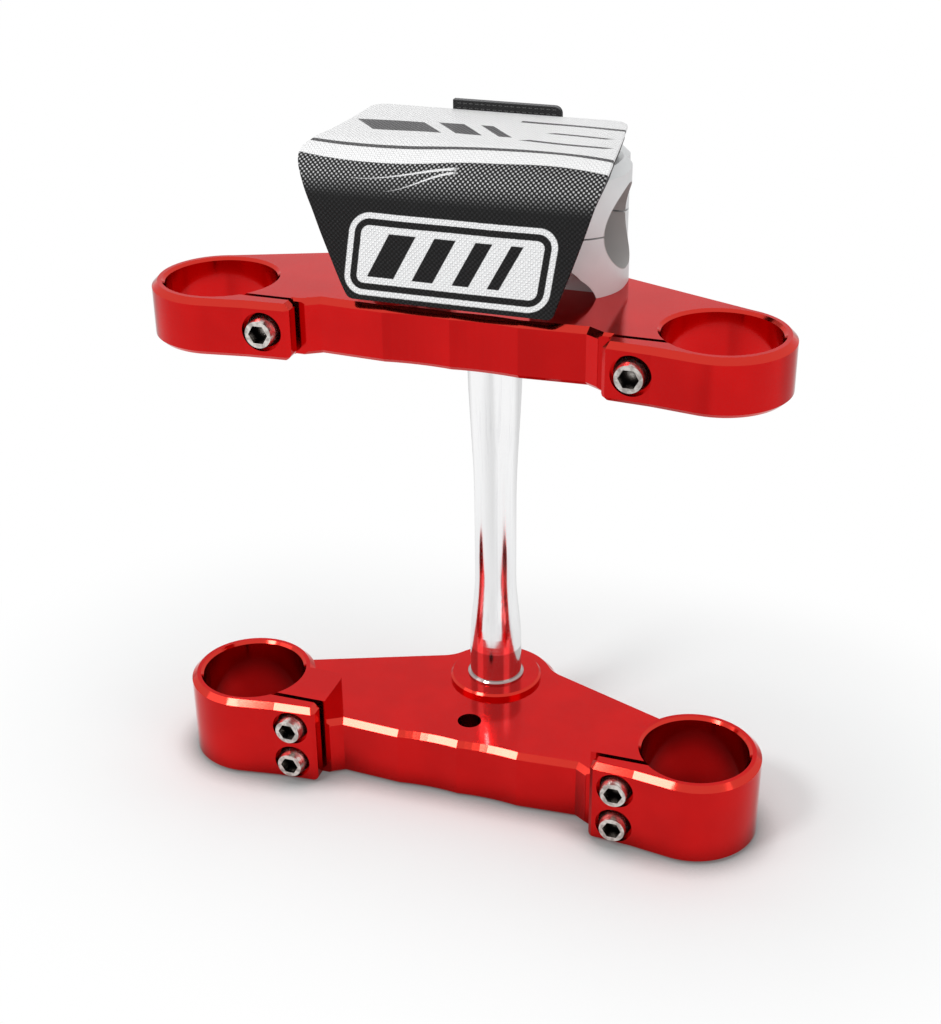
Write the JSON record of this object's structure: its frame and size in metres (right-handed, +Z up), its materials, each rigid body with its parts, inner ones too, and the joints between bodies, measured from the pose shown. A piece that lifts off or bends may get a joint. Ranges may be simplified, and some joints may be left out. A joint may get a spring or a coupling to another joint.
{
  "type": "motorcycle triple clamp",
  "caption": "Upper and lower fork clamps on a steering stem, with handlebar clamp posts and a padded handlebar cover.",
  "frame": {"origin": "on the steering axis, at the foot of the lower bearing seat of the stem", "axes": "+Z up along the stem, -Y towards the front of the motorcycle, +X towards the right as seen from the front"},
  "size_m": [0.223, 0.0851, 0.2503],
  "materials": {
    "red_anodised": "red anodised, satin",
    "silver_aluminium": "clear anodised, satin",
    "polished_stem": "polished",
    "screw_steel": "plain stainless",
    "pad_fabric": "woven cover with a printed design",
    "pad_foam": null,
    "strap_webbing": "stitched webbing"
  },
  "bodies": {
    "root": {"upper_clamp": "red_anodised", "lower_clamp": "red_anodised", "steering_stem": "polished_stem", "stem_bolt": "screw_steel", "stem_washer": "screw_steel", "stem_circlip": "screw_steel", "upper_pinch_bolt_left": "screw_steel", "upper_pinch_bolt_right": "screw_steel", "lower_pinch_bolt_left_top": "screw_steel", "lower_pinch_bolt_left_bottom": "screw_steel", "lower_pinch_bolt_right_top": "screw_steel", "lower_pinch_bolt_right_bottom": "screw_steel", "bar_riser_left": "silver_aluminium", "bar_riser_right": "silver_aluminium", "bar_cap_left": "silver_aluminium", "bar_cap_right": "silver_aluminium", "cap_bolt_left_front": "screw_steel", "cap_bolt_left_rear": "screw_steel", "cap_bolt_right_front": "screw_steel", "cap_bolt_right_rear": "screw_steel", "riser_screw_left": "screw_steel", "riser_screw_right": "screw_steel", "pad_cover": "pad_fabric", "pad_foam": "pad_foam", "pad_strap": "strap_webbing"}
  },
  "joints": []
}
